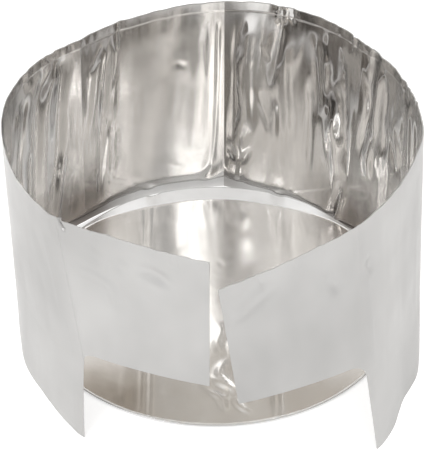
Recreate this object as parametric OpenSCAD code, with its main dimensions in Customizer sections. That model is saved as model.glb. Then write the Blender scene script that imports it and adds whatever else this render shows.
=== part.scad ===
// Folding foil windscreen for a camp stove, standing as an open ring round a flat heat reflector.
// Millimetres, +Z up. The floor is z = 0, the middle of the reflector is the origin, the wings meet at -Y.
// The screen is one strip with upright creases. Panels and creases are counted clockwise, seen from above,
// from the end of the left wing round the back to the end of the right wing.

/* [Screen strip] */
// Width of each panel between two creases, along the strip
panel_w = 88; // [80:1:110]
// Height of the strip
wall_h = 127; // [100:1:160]
// Thickness of the foil
sheet_t = 0.3; // [0.2:0.05:0.5]
// Height of the hem that is folded in along the top edge
hem_h = 6; // [3:0.5:12]
// Thickness that the hem adds on the inside
hem_t = 0.3; // [0.2:0.05:0.5]

/* [Ring] */
// How far the strip turns at each of its seven creases, from one chord to the next
crease_turns = [45, 48.5, 37.5, 51.5, 43, 45, 29.5];
// How far each panel bows outwards from its chord
panel_bows = [2, 7.5, 11, 7, 11, 8, 6, 2];
// Heading of the panel on the left of the back crease, from +X
back_heading = 24.5; // [15:0.5:30]
// How far the back crease stands to the right of the middle
back_shift = 5; // [-5:0.5:10]
// How far the back crease is pushed in from a true circle
back_push = 3; // [0:0.5:6]
// How far the foot of the left crease stands in from its top
left_lean = 6.5; // [0:0.5:8]
// How far the foot of the right crease stands out from its top
right_lean = 2; // [0:0.5:4]
// How far the foot of the right back crease stands in from its top
right_back_lean = 5.5; // [0:0.5:6]
// How much less the back right panel bows at the floor than at the top
back_tuck = 6.5; // [0:0.5:8]

/* [Legs and wings] */
// Width of the notch that is cut from each end of the strip
notch_w = 68; // [50:1:74]
// Height of the notch at the wing's end, which leaves the wing above it and the leg beside it
notch_h = 45; // [30:1:60]
// How much higher the notch is beside the leg than at the wing's end
notch_rise = 6.5; // [0:0.5:10]
// How far the foot of the left leg flares out, square to the left wing
left_flare = 17; // [5:1:30]
// How far the foot of the right leg flares out, square to the right wing
right_flare = 31; // [5:1:35]
// How far the lower edge of the left wing is set back along the wing
left_skew = 0; // [0:1:20]
// How far the lower edge of the right wing is set back along the wing
right_skew = 13; // [0:1:20]
// How much further the left leg bows out at the floor than at the top
left_swell = 1.5; // [0:0.5:8]
// How much further the right leg bows out at the floor than at the top
right_swell = 5; // [0:0.5:8]

/* [Creases] */
// Radius of the rounded ridge along each crease
ridge_r = 0.6; // [0.4:0.05:1]
// Gap between a ridge and the panel that turns about it
ridge_gap = 0.2; // [0.1:0.05:0.3]

/* [Reflector] */
// How far the reflector's edge stays inside the ring's mean radius
reflector_clearance = 12; // [11:0.5:30]
// Distance of each reflector crease from the middle
fold_x = 35; // [25:1:40]
// Width of the rolled edge
rim_w = 3; // [2:0.5:6]

/* [Hidden] */
$fn = 96;

screen_colour = [0.78, 0.78, 0.77];
reflector_colour = [0.70, 0.68, 0.65];

// Places in the list of panels, counted on from one to the next
LEFT_WING = 0;
LEFT_LEG = LEFT_WING + 1;
LEFT_SIDE = LEFT_LEG + 1;
BACK_LEFT = LEFT_SIDE + 1;
BACK_RIGHT = BACK_LEFT + 1;
RIGHT_SIDE = BACK_RIGHT + 1;
RIGHT_LEG = RIGHT_SIDE + 1;
RIGHT_WING = RIGHT_LEG + 1;
// Each crease has the place of the panel that starts at it
LEFT_FRONT_CREASE = LEFT_LEG;
LEFT_CREASE = LEFT_SIDE;
LEFT_BACK_CREASE = BACK_LEFT;
BACK_CREASE = BACK_RIGHT;
RIGHT_BACK_CREASE = RIGHT_SIDE;
RIGHT_CREASE = RIGHT_LEG;
RIGHT_FRONT_CREASE = RIGHT_WING;

ring_r = len(panel_bows) * panel_w / (2 * PI);
reflector_r = ring_r - reflector_clearance;
// A turning panel stops this far from the crease's axis
crease_cut = ridge_r + ridge_gap;
// The hem's lower step is a short slope of this height
hem_step = hem_t;
hem_z = wall_h - hem_h;
// The reflector folds about an axis level with the top of its rolled edge
fold_z = sheet_t + hem_t;
// Steps that divide the curved sheets
side_columns = 12;
leg_columns = 10;
wing_columns = 8;

// Plan of the strip: each panel's heading, chord and outward side, and the crease points between them
function heading(i) =
    i < BACK_LEFT ? heading(i + 1) + crease_turns[i] :
    i > BACK_LEFT ? heading(i - 1) - crease_turns[i - 1] : back_heading;
function chord(i) = panel_w - 8 * panel_bows[i] * panel_bows[i] / (3 * panel_w);
function along(i) = [cos(heading(i)), sin(heading(i))];
function outward(i) = [-sin(heading(i)), cos(heading(i))];
function crease(k) =
    k < BACK_CREASE ? crease(k + 1) - chord(k) * along(k) :
    k > BACK_CREASE ? crease(k - 1) + chord(k - 1) * along(k - 1) : [back_shift, ring_r - back_push];

// Point of a crease at height z: three creases lean, the others stand upright
function lean(k) =
    k == LEFT_CREASE ? -left_lean :
    k == RIGHT_CREASE ? right_lean :
    k == RIGHT_BACK_CREASE ? -right_back_lean : 0;
function crease_at(k, z) =
    let (out = outward(k - 1) + outward(k), p = crease(k) + out / norm(out) * lean(k) * (1 - z / wall_h))
    [p.x, p.y, z];

// A wing's front crease, the way to its end, its outward side, its flare, its skew, its length and its bow
function wing(left) = left
    ? [crease(LEFT_FRONT_CREASE), -along(LEFT_WING), outward(LEFT_WING),
       left_flare, left_skew, chord(LEFT_WING), panel_bows[LEFT_WING]]
    : [crease(RIGHT_FRONT_CREASE), along(RIGHT_WING), outward(RIGHT_WING),
       right_flare, right_skew, chord(RIGHT_WING), panel_bows[RIGHT_WING]];

// Point of a wing's sheet at distance d from its free end and height z, running on into the leg below
function wing_point(left, d, z) =
    let (w = wing(left), drop = 1 - z / wall_h, skew = w[4] * min(1, (wall_h - z) / (wall_h - notch_h)),
         p = w[0] + w[1] * (w[5] - d - skew) + w[2] * (w[3] * drop * d / notch_w))
    [p.x, p.y, z];

function mix(a, b, f) = a + (b - a) * f;
function reversed(list) = [for (i = [len(list) - 1 : -1 : 0]) list[i]];

// The front crease runs from the top edge down to the notch's corner
corner_z = notch_h + notch_rise;
function front_crease_top(left) = let (p = wing(left)[0]) [p.x, p.y, wall_h];
function front_crease_at(left, z) =
    mix(wing_point(left, notch_w, notch_h), front_crease_top(left), (z - notch_h) / (wall_h - notch_h));

// One upright line of the wing: share u of the way from the free end to the front crease
function wing_line(left, u) =
    let (w = wing(left), shift = w[2] * w[6] * 4 * u * (1 - u), bow = [shift.x, shift.y, 0],
         low = wing_point(left, u * notch_w, notch_h) + bow,
         top = wing_point(left, u * w[5], wall_h) + bow)
    [for (z = wing_heights(u)) mix(low, top, (z - notch_h) / (wall_h - notch_h))];
function wing_heights(u) =
    concat([for (f = [0, 0.25, 0.5, 0.75, 1]) mix(mix(notch_h, corner_z, u), hem_z, f)], [hem_z + hem_step, wall_h]);
wing_shares = [for (i = [0 : wing_columns]) (1 - crease_cut / notch_w) * i / wing_columns];
function rows(lines) = [for (i = [0 : len(lines[0]) - 1]) [for (line = lines) line[i]]];
function wing_grid(left) =
    let (lines = [for (u = wing_shares) wing_line(left, u)])
    rows(left ? lines : reversed(lines));

// A panel that bows between a leaning crease and the next one stops short of the ridge that it turns about
function side_row(i, z) =
    let (start = crease_at(i, z), span = crease_at(i + 1, z) - start,
         side = [-span.y, span.x, 0] / norm(span), cut = crease_cut / norm(span),
         from = i == LEFT_SIDE ? 0 : cut, to = i == LEFT_SIDE ? 1 - cut : 1,
         bow = panel_bows[i] - (i == BACK_RIGHT ? back_tuck * (1 - z / wall_h) : 0))
    [for (c = [0 : side_columns])
        let (u = mix(from, to, c / side_columns)) start + span * u + side * 4 * bow * u * (1 - u)];
side_heights = concat([for (f = [0, 0.25, 0.5, 0.75, 1]) hem_z * f], [hem_z + hem_step, wall_h]);
function side_grid(i) = [for (z = side_heights) side_row(i, z)];

// Front edge of a leg panel at height z: the leg's inner edge, then the front crease
function leg_front(left, z) =
    z < corner_z ? wing_point(left, notch_w, z) : front_crease_at(left, z);
leg_heights = concat([for (f = [0, 0.5]) notch_h * f], wing_heights(1));
// Bow of a leg panel's top edge at distance a from its rear crease, running on smoothly past the front crease
function leg_bow(i, a) = 4 * panel_bows[i] * (a / chord(i)) * (1 - a / chord(i));
// Each row keeps that bow, swells towards the floor, and turns steadily to meet the panel's front edge
function leg_row(left, z) =
    let (i = left ? LEFT_LEG : RIGHT_LEG, rear = crease_at(left ? LEFT_CREASE : RIGHT_CREASE, z),
         way = concat(left ? -along(i) : along(i), 0), side = concat(outward(i), 0),
         front = leg_front(left, z) - rear, reach = front * way, miss = front * side - leg_bow(i, reach),
         swell = (left ? left_swell : right_swell) * (1 - z / wall_h))
    [for (c = [0 : leg_columns])
        let (a = mix(crease_cut, reach, c / leg_columns), f = a / reach)
        rear + way * a + side * (leg_bow(i, a) + miss * f * f + swell * 4 * f * (1 - f))];
function leg_grid(left) = [for (z = leg_heights) left ? reversed(leg_row(left, z)) : leg_row(left, z)];

// Sheet of foil through a grid of points, rows going up and columns clockwise, with the hem on its top rows
module sheet(grid) {
    last_row = len(grid) - 1;
    last = len(grid[0]) - 1;
    hem_row = last_row - 1;
    function side(row, j) =
        let (t = row[min(j + 1, last)] - row[max(j - 1, 0)]) [-t.y, t.x, 0] / norm([t.x, t.y]);
    outer = [for (row = grid) for (j = [0 : last]) row[j] + side(row, j) * sheet_t / 2];
    inner = [for (i = [0 : last_row]) for (j = [0 : last])
        grid[i][j] - side(grid[i], j) * (sheet_t / 2 + (i < hem_row ? 0 : hem_t))];
    function o(i, j) = i * (last + 1) + j;
    function n(i, j) = len(outer) + o(i, j);
    across = [0 : last - 1];
    up = [0 : last_row - 1];
    quads = concat(
        [for (i = up) for (j = across) [o(i, j), o(i, j + 1), o(i + 1, j + 1), o(i + 1, j)]],
        [for (i = up) for (j = across) [n(i, j), n(i + 1, j), n(i + 1, j + 1), n(i, j + 1)]],
        [for (j = across) [o(0, j + 1), o(0, j), n(0, j), n(0, j + 1)]],
        [for (j = across) [o(last_row, j), o(last_row, j + 1), n(last_row, j + 1), n(last_row, j)]],
        [for (i = up) [o(i, 0), o(i + 1, 0), n(i + 1, 0), n(i, 0)]],
        [for (i = up) [o(i + 1, last), o(i, last), n(i, last), n(i + 1, last)]]);
    polyhedron(
        points = concat(outer, inner),
        faces = [for (q = quads) for (f = [[q[0], q[1], q[2]], [q[0], q[2], q[3]]]) f]);
}

// Section of an upright panel at radius r, with the hem on the inside
module wall_section(r) {
    face = r + sheet_t / 2;
    back = r - sheet_t / 2;
    polygon([[back, 0], [face, 0], [face, wall_h], [back - hem_t, wall_h],
             [back - hem_t, hem_z + hem_step], [back, hem_z]]);
}

// Upright panel bent to an arc between two creases
module arc_panel(i) {
    bow = panel_bows[i];
    r = chord(i) * chord(i) / (8 * bow) + bow / 2;
    centre = (crease(i) + crease(i + 1)) / 2 - outward(i) * (r - bow);
    to_end = crease(i + 1) - centre;
    sweep = 2 * asin(chord(i) / (2 * r));
    translate([centre.x, centre.y, 0])
        rotate(atan2(to_end.y, to_end.x))
            rotate_extrude(angle = sweep)
                wall_section(r);
}

// Rounded ridge along an upright crease, dying out just under the top edge
module upright_ridge(k) {
    p = crease(k);
    translate([p.x, p.y, 0])
        cylinder(h = wall_h - ridge_r, r = ridge_r);
}

// Rounded ridge along a slanting crease
module slanting_ridge(low, top) {
    way = top - low;
    translate(low)
        rotate([0, acos(way.z / norm(way)), atan2(way.y, way.x)])
            cylinder(h = norm(way), r = ridge_r);
}

// Ridge along a leaning crease, dying out just above the floor and just under the top edge
module leaning_ridge(k) {
    slanting_ridge(crease_at(k, ridge_r), crease_at(k, wall_h - ridge_r));
}

// Ridge along the crease between a leg panel and its wing
module front_ridge(left) {
    slanting_ridge(front_crease_at(left, corner_z), front_crease_top(left));
}

module left_wing_panel() {
    color(screen_colour)
        sheet(wing_grid(true));
}

module left_leg_panel() {
    color(screen_colour) {
        sheet(leg_grid(true));
        front_ridge(true);
    }
}

module left_side_panel() {
    color(screen_colour) {
        sheet(side_grid(LEFT_SIDE));
        leaning_ridge(LEFT_CREASE);
    }
}

module back_left_panel() {
    color(screen_colour) {
        arc_panel(BACK_LEFT);
        upright_ridge(LEFT_BACK_CREASE);
        upright_ridge(BACK_CREASE);
    }
}

module back_right_panel() {
    color(screen_colour) {
        sheet(side_grid(BACK_RIGHT));
        leaning_ridge(RIGHT_BACK_CREASE);
    }
}

module right_side_panel() {
    color(screen_colour) {
        sheet(side_grid(RIGHT_SIDE));
        leaning_ridge(RIGHT_CREASE);
    }
}

module right_leg_panel() {
    color(screen_colour) {
        sheet(leg_grid(false));
        front_ridge(false);
    }
}

module right_wing_panel() {
    color(screen_colour)
        sheet(wing_grid(false));
}

// Disc with its rolled edge, kept between two lines across it
module reflector_leaf(from_x, to_x) {
    intersection() {
        union() {
            cylinder(h = sheet_t, r = reflector_r);
            difference() {
                cylinder(h = sheet_t + hem_t, r = reflector_r);
                cylinder(h = 3 * (sheet_t + hem_t), r = reflector_r - rim_w, center = true);
            }
        }
        translate([from_x, -2 * reflector_r, -wall_h / 2])
            cube([to_x - from_x, 4 * reflector_r, wall_h]);
    }
}

// Rounded ridge along a crease of the reflector, standing on the floor and ending inside the rolled edge
module reflector_ridge(x) {
    half = sqrt(reflector_r * reflector_r - (abs(x) + ridge_r) * (abs(x) + ridge_r));
    translate([x, half, fold_z])
        rotate([90, 0, 0])
            cylinder(h = 2 * half, r = ridge_r);
    translate([x - ridge_r, -half, 0])
        cube([2 * ridge_r, 2 * half, fold_z]);
}

module reflector_centre() {
    color(reflector_colour) {
        reflector_leaf(-fold_x, fold_x);
        reflector_ridge(-fold_x);
        reflector_ridge(fold_x);
    }
}

module reflector_left_leaf() {
    color(reflector_colour)
        reflector_leaf(-2 * reflector_r, -fold_x - crease_cut);
}

module reflector_right_leaf() {
    color(reflector_colour)
        reflector_leaf(fold_x + crease_cut, 2 * reflector_r);
}

left_wing_panel();
left_leg_panel();
left_side_panel();
back_left_panel();
back_right_panel();
right_side_panel();
right_leg_panel();
right_wing_panel();
reflector_centre();
reflector_left_leaf();
reflector_right_leaf();
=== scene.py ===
import math

import bpy
import numpy as np
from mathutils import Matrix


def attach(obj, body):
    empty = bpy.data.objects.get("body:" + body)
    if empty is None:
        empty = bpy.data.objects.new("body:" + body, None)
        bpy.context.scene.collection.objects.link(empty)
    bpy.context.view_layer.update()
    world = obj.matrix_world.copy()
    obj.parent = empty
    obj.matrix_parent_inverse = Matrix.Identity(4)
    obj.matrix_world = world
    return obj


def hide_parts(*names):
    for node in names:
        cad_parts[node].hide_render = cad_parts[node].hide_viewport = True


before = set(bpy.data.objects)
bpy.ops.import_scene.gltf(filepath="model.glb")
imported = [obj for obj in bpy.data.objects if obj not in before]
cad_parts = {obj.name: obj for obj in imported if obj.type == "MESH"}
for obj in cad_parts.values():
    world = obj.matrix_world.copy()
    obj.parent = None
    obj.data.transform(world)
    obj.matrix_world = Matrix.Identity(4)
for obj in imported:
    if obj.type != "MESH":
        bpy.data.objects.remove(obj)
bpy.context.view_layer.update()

MM = 0.001

# The strip, in millimetres and degrees, as the part's source has it. Panels and creases are counted clockwise,
# seen from above, from the end of the left wing.
PANEL_W, WALL_H, FOIL_T, HEM_H = 88.0, 127.0, 0.3, 6.0
# How far the strip turns at each crease, and how far each panel bulges outwards
TURNS = (45.0, 48.5, 37.5, 51.5, 43.0, 45.0, 29.5)
BOWS = (2.0, 7.5, 11.0, 7.0, 11.0, 8.0, 6.0, 2.0)
# Heading of the back left panel, and where the back crease stands
BACK_HEADING, BACK_SHIFT, BACK_PUSH = 24.5, 5.0, 3.0
# How far out the foot of a leaning crease stands, and how much flatter the back right panel is at its foot
LEAN, BACK_TUCK = {2: -6.5, 5: -5.5, 6: 2.0}, 6.5
# The notch below each wing, and how far wings and legs flare, shift and swell towards the foot
NOTCH_W, NOTCH_H, NOTCH_RISE = 68.0, 45.0, 6.5
FLARE = {"left": 17.0, "right": 31.0}
SKEW = {"left": 0.0, "right": 13.0}
SWELL = {"left": 1.5, "right": 5.0}
RING_R = len(BOWS) * PANEL_W / (2 * math.pi)
# The reflector: how far it is clear of the ring, and the distance and height of its two folds
REFLECTOR_CLEARANCE, FOLD_X, FOLD_Z = 12.0, 35.0, 0.6
DISC_R = RING_R - REFLECTOR_CLEARANCE

# What the solids leave to this script: the hem's step, the notches' round corners and the front creases' soft
# bends
HEM_STEP = 0.35
NOTCH_R = {"left": 8.0, "right": 10.0}
SOFT_CREASES = {1: 14.0, 7: 18.0}
# The foot of the back crease is pushed in: how far, and over which width
BACK_DENT, BACK_DENT_W = 3.5, 34.0
# The feet of the legs are bent by hand: (share of the leg from its rear crease, how far out), how much longer the
# tip is, and the height up to which the bend shows
FOOT_BEND = {
    "left": [(0, 0), (0.2, 0.3), (0.4, 1.3), (0.5, 0.75), (0.6, -0.5), (0.7, -1.0), (0.9, -1.2), (1, -0.75)],
    "right": [(0, 0), (0.2, 0.3), (0.4, 1.5), (0.5, 0.25), (0.6, -1.5), (0.7, -1.0), (0.8, 0.25), (0.9, 0.5),
              (1, 0)]}
FOOT_TIP, FOOT_BEND_H = {"left": 4.0, "right": 0.0}, 60.0

PANELS = ("left_wing", "left_leg", "left_side", "back_left", "back_right", "right_side", "right_leg", "right_wing")
LEFT_WING, LEFT_LEG, BACK_LEFT, BACK_RIGHT, RIGHT_LEG, RIGHT_WING = 0, 1, 3, 4, 6, 7
WINGS, LEGS = {"left": LEFT_WING, "right": RIGHT_WING}, {"left": LEFT_LEG, "right": RIGHT_LEG}
FRONT_CREASES, REAR_CREASES = {"left": 1, "right": 7}, {"left": 2, "right": 6}


# Plan of the strip

def heading(i):
    """Direction in which panel i runs, clockwise round the ring."""
    turned = sum(TURNS[i:BACK_LEFT]) - sum(TURNS[BACK_LEFT:i])
    return math.radians(BACK_HEADING + turned)


def chord(i):
    """Straight width of a bowed panel."""
    return PANEL_W - 8 * BOWS[i] ** 2 / (3 * PANEL_W)


def along(i):
    return np.array([math.cos(heading(i)), math.sin(heading(i))])


def outward(i):
    return np.array([-math.sin(heading(i)), math.cos(heading(i))])


def to_end(side, i):
    """The way along panel i to that side's end of the strip."""
    return -along(i) if side == "left" else along(i)


def crease(k):
    """Plan of crease k at the top edge, stepped off from the back crease."""
    point = np.array([BACK_SHIFT, RING_R - BACK_PUSH])
    for i in range(BACK_RIGHT, k):
        point = point + chord(i) * along(i)
    for i in range(k, BACK_RIGHT):
        point = point - chord(i) * along(i)
    return point


def upright(plan, z):
    """Places with this plan at height z."""
    return np.concatenate([plan, (z + 0 * plan[..., 0])[..., None]], -1)


def crease_at(k, z):
    """Plan of a crease at height z: three creases lean, the others stand upright."""
    out = outward(k - 1) + outward(k)
    return crease(k) + (LEAN.get(k, 0.0) * (1 - z / WALL_H))[..., None] * out / np.linalg.norm(out)


def side_panel(i, u, z):
    """A panel that is bowed between two creases, which may lean."""
    start, end = crease_at(i, z), crease_at(i + 1, z)
    span = end - start
    side = np.stack([-span[..., 1], span[..., 0]], -1) / np.linalg.norm(span, axis=-1)[..., None]
    bow = BOWS[i] - (BACK_TUCK * (1 - z / WALL_H) if i == BACK_RIGHT else 0)
    return upright(start + span * u[..., None] + side * (4 * bow * u * (1 - u))[..., None], z)


def back_panel(i, u, z):
    """A panel that is an arc between two upright creases."""
    bow, width = BOWS[i], chord(i)
    radius = width * width / (8 * bow) + bow / 2
    centre = (crease(i) + crease(i + 1)) / 2 - outward(i) * (radius - bow)
    start = crease(i) - centre
    angle = math.atan2(start[1], start[0]) - 2 * math.asin(width / (2 * radius)) * u
    return upright(centre + radius * np.stack([np.cos(angle), np.sin(angle)], -1), z)


def wing_of(side):
    """A wing's panel, the top of its front crease, the way from there to its free end, and its length."""
    i = WINGS[side]
    return i, crease(FRONT_CREASES[side]), to_end(side, i), chord(i)


def wing_point(side, d, z):
    """A place on the flared wing at distance d from its free end, also below its low edge."""
    i, root, way, length = wing_of(side)
    set_back = SKEW[side] * np.minimum(1, (WALL_H - z) / (WALL_H - NOTCH_H))
    out = FLARE[side] * (1 - z / WALL_H) * d / NOTCH_W
    return upright(root + (length - d - set_back)[..., None] * way + out[..., None] * outward(i), z)


def wing_panel(side, u, z):
    """u runs from the free end to the front crease."""
    i, _, _, length = wing_of(side)
    low = wing_point(side, u * NOTCH_W, NOTCH_H + 0 * u)
    top = wing_point(side, u * length, WALL_H + 0 * u)
    place = low + (top - low) * ((z - NOTCH_H) / (WALL_H - NOTCH_H))[..., None]
    place[..., :2] += (4 * BOWS[i] * u * (1 - u))[..., None] * outward(i)
    return place


def notch_corner(side):
    """Where the arc of the notch's round corner meets the front crease: its distance along the wing and its height,
    and the height where the arc starts."""
    radius = NOTCH_R[side]
    slant = math.hypot(PANEL_W - NOTCH_W, WALL_H - NOTCH_H)
    drop_d, drop_z = (PANEL_W - NOTCH_W) / slant, (WALL_H - NOTCH_H) / slant
    over = radius - NOTCH_RISE
    pull = radius * drop_d + over * drop_z
    run = pull - math.sqrt(pull * pull - over * over)
    return NOTCH_W - drop_d * run, NOTCH_H - drop_z * run, NOTCH_H - over


def wing_low_edge(side, u):
    """Height of a wing's low edge, which rises a little towards the notch's round corner."""
    corner_d, _, foot = notch_corner(side)
    into = np.maximum(0, u * corner_d - (NOTCH_W - NOTCH_R[side]))
    return foot + np.sqrt(NOTCH_R[side] ** 2 - into ** 2) - NOTCH_RISE * (1 - u)


def leg_front(side, z):
    """Front edge of a leg: the front crease, and below it the notch's round corner and inner edge."""
    one = np.ones_like(z)
    _, corner_z, foot = notch_corner(side)
    slant = wing_panel(side, one, z)
    inner_edge = wing_point(side, NOTCH_W * one, z)
    join = wing_panel(side, one, corner_z * one) - wing_point(side, NOTCH_W * one, corner_z * one)
    arc = lambda h: 1 - np.sqrt(1 - np.clip((h - foot) / NOTCH_R[side], 0, 0.999) ** 2)
    inner_edge = inner_edge + join * (arc(np.minimum(z, corner_z)) / arc(corner_z))[..., None]
    return np.where((z < corner_z)[..., None], inner_edge, slant)


def leg_panel(side, v, z):
    """v runs from the rear crease to the front edge."""
    i = LEGS[side]
    rear = crease_at(REAR_CREASES[side], z)
    way = to_end(side, i)
    front = leg_front(side, z)[..., :2] - rear
    reach = front @ way
    bow = lambda a: 4 * BOWS[i] * (a / chord(i)) * (1 - a / chord(i))
    rest = front @ outward(i) - bow(reach)
    a = reach * v
    tip = FOOT_TIP[side] * np.clip(1 - z / NOTCH_H, 0, 1) ** 2 * v * v
    bend = np.interp(v, *smooth_line(FOOT_BEND[side]).T) * np.clip(1 - z / FOOT_BEND_H, 0, 1) ** 2
    swell = SWELL[side] * (1 - z / WALL_H) * 4 * v * (1 - v) + bend
    return upright(rear + (a + tip)[..., None] * way + (bow(a) + rest * v * v + swell)[..., None] * outward(i), z)


def halfway(k):
    """The inward way that halves crease k."""
    inward = -(outward(k - 1) + outward(k))
    return inward / np.linalg.norm(inward)


def back_dent(s, z):
    """How far the foot of the back crease is pushed in, at distance s along the strip."""
    return BACK_DENT * (1 - z / WALL_H) * np.exp(-((s - BACK_RIGHT * PANEL_W) / BACK_DENT_W) ** 2)


def round_off(i, u, place):
    """Near a soft bend, a panel is drawn in along the line that halves the crease."""
    for k, radius in SOFT_CREASES.items():
        if i not in (k - 1, k):
            continue
        reach = radius * math.tan(math.radians(TURNS[k - 1]) / 2)
        near = np.maximum(0, reach - PANEL_W * (u if i == k else 1 - u))
        inward = halfway(k) / math.cos(math.radians(TURNS[k - 1]) / 2)
        place[..., :2] += (near * near / (2 * radius))[..., None] * inward
    return place


def panel_place(i, u, z):
    """u runs clockwise from crease i to crease i + 1."""
    if i == LEFT_WING:
        return wing_panel("left", u, z)
    if i == RIGHT_WING:
        return wing_panel("right", 1 - u, z)
    if i == LEFT_LEG:
        return leg_panel("left", 1 - u, z)
    if i == RIGHT_LEG:
        return leg_panel("right", u, z)
    if i == BACK_LEFT:
        return back_panel(i, u, z)
    return side_panel(i, u, z)


# Folds and dents: (kind, height, width, points), each point a distance along the strip and a height, in
# millimetres. A ridge is round, a crease has a sharp crest, and a height below zero goes inwards.
SCREEN_FOLDS = [
    # left side, inside view
    ("ridge", 0.73, 3.9, [(254, 123), (252.5, 112), (249, 90), (246.5, 60), (243, 30)]),
    ("ridge", 0.66, 3.2, [(257, 121), (251, 116), (247, 109)]),
    ("ridge", -0.58, 3.2, [(250, 122), (246, 112), (244, 102)]),
    ("ridge", 0.73, 4.3, [(241, 121), (236, 108), (231, 96), (227, 70), (224.5, 48), (222, 12)]),
    ("ridge", -0.66, 4.3, [(246, 116), (240, 95), (235, 60), (232, 20)]),
    ("ridge", 0.66, 4.3, [(222, 115), (218, 105), (210, 88), (204, 70), (200, 40)]),
    ("ridge", -0.66, 4.6, [(214, 112), (206, 92), (198, 70), (193, 40)]),
    ("crease", 0.66, 3.2, [(256, 62), (253, 50), (248, 28), (245, 4)]),
    ("ridge", -0.73, 3.6, [(251, 60), (247, 36), (241, 6)]),
    ("ridge", 0.58, 3.2, [(260, 45), (257, 25), (254, 4)]),
    # back left
    ("crease", 0.45, 1.8, [(291, 127), (288, 100), (284, 76), (279, 40), (274, 6)]),
    ("ridge", -0.55, 2.6, [(288.5, 122), (285.5, 90), (283, 58)]),
    ("ridge", 0.35, 2.0, [(283, 115), (280, 90), (277, 50), (274.5, 8)]),
    ("ridge", 0.30, 2.2, [(278, 118), (273, 106), (267, 99)]),
    ("ridge", 0.15, 13.0, [(313, 112), (311, 15)]),
    ("ridge", 0.08, 3.2, [(338, 118), (337, 70), (334, 22)]),
    ("ridge", 0.10, 2.4, [(344.5, 118), (343, 60), (341, 25), (336, 4)]),
    ("ridge", 0.14, 1.4, [(348.8, 120), (348, 70), (346.5, 30), (343, 5)]),
    ("ridge", 0.12, 1.5, [(322, 90), (331, 86)]),
    ("ridge", 0.40, 3.0, [(351, 20), (344, 11), (336, 3)]),
    # back right
    ("ridge", 0.48, 2.7, [(360.5, 121), (359, 94), (358.5, 66), (356.5, 28)]),
    ("ridge", -0.48, 3.5, [(366, 119), (365, 80), (367, 38)]),
    ("crease", 0.48, 2.2, [(385, 125), (384, 105), (380.5, 83), (379, 68)]),
    ("crease", 0.40, 2.0, [(369, 72), (373, 62), (378, 50), (382, 36)]),
    ("ridge", 0.56, 2.2, [(355, 32), (357, 24), (361, 17)]),
    ("ridge", 0.56, 2.2, [(368, 31), (365, 22), (361, 15)]),
    ("ridge", 0.40, 3.0, [(404, 118), (407, 100), (410, 76), (409, 56)]),
    ("ridge", -0.48, 2.7, [(411, 113), (414, 96), (415, 78)]),
    ("ridge", -0.88, 6.1, [(416, 84), (420, 66), (425, 45), (428, 28)]),
    ("crease", 0.64, 2.0, [(423, 118), (426, 107), (430, 80), (433, 50), (435, 26)]),
    ("ridge", 0.80, 2.4, [(431, 30), (428, 16), (424.5, 0)]),
    ("ridge", -0.64, 2.2, [(435, 27), (432, 12), (429, 0)]),
    # right side
    ("ridge", 0.76, 2.6, [(451, 125), (449.5, 110), (449, 94), (446, 70), (444, 50)]),
    ("ridge", -0.76, 2.9, [(456, 122), (454, 100), (453, 80), (451, 36)]),
    ("crease", 0.85, 2.2, [(461, 121), (462, 100), (463, 60)]),
    ("crease", 0.85, 2.2, [(463, 61), (466, 85)]),
    ("crease", 0.85, 2.2, [(466, 86), (472, 71), (478, 58)]),
    ("crease", 0.85, 2.2, [(478, 58), (480, 72), (482, 90), (481, 108)]),
    ("ridge", -0.66, 3.2, [(490, 122), (492, 90), (496, 50), (498, 20)]),
    ("ridge", 0.76, 2.9, [(500, 120), (503, 88), (506, 50)]),
    # wings and legs, outside view
    ("ridge", -0.8, 4.6, [(58, 114), (52, 111), (45, 106)]),
    ("ridge", -0.95, 4.2, [(46, 107), (36, 112), (27, 110), (17, 103)]),
    ("ridge", 0.5, 5.0, [(44, 100), (34, 104), (22, 98)]),
    ("ridge", 0.6, 3.4, [(86, 101), (72, 100.5), (63, 98.5), (58, 94), (55, 78)]),
    ("ridge", -0.6, 4.4, [(73, 117), (60, 108)]),
    ("crease", -1.60, 0.8, [(86, 128), (83.8, 124.5), (81, 121.5)]),
    ("ridge", 0.35, 3.0, [(101, 118), (97, 92), (95, 60)]),
    ("ridge", -0.30, 3.5, [(110, 112), (104, 86)]),
    ("ridge", 1.3, 5.5, [(668, 120), (682, 114), (695, 107), (706, 102)]),
    ("ridge", -0.9, 3.0, [(612, 108), (608, 95)]),
    ("ridge", 0.30, 2.6, [(613, 118), (611, 80), (610, 40)]),
    ("ridge", -1.0, 4.0, [(642, 114), (632, 94)]),
    ("ridge", 0.30, 5.0, [(594, 110), (590, 50)]),
]
# Stretches of the strip that are crumpled all over: start, end, number of folds, height, and how far they lean
CRUMPLED = [(178, 262, 5, 0.40, 0.14), (266, 294, 3, 0.40, 0.14), (354, 400, 6, 0.30, -0.04),
            (400, 438, 6, 0.45, -0.10), (442, 526, 8, 0.65, -0.12), (90, 174, 8, 0.14, 0.05),
            (530, 614, 8, 0.14, -0.05)]
# Their folds: length, lowest and highest point, share of the height, width, and where a leaning fold is in place
SEEDED_LENGTH, SEEDED_LOW, SEEDED_HIGH = (25, 95), -10, 125
SEEDED_SHARE, SEEDED_WIDTH, SEEDED_MIDDLE = (0.5, 1.3), (2.0, 5.5), 64
# How loosely the foil lies along the strip: smooth wings and back left panel, crumpled sides
SLACK = [(0, 0.12), (84, 0.15), (100, 0.3), (170, 0.4), (190, 0.4), (284, 0.3), (296, 0.12), (336, 0.12),
         (350, 0.3), (372, 0.5), (400, 0.4), (430, 0.6), (520, 0.5), (545, 0.4), (600, 0.2), (704, 0.12)]
# Stretches of its top edge with short nicks: start, end, number. Their height, depth and width
NICKED = [(372, 392, 7), (420, 505, 26), (226, 262, 6), (14, 74, 5), (630, 690, 5)]
NICK_H, NICK_DEPTH, NICK_WIDTH = 0.22, (4, 15), (0.8, 1.5)
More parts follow.
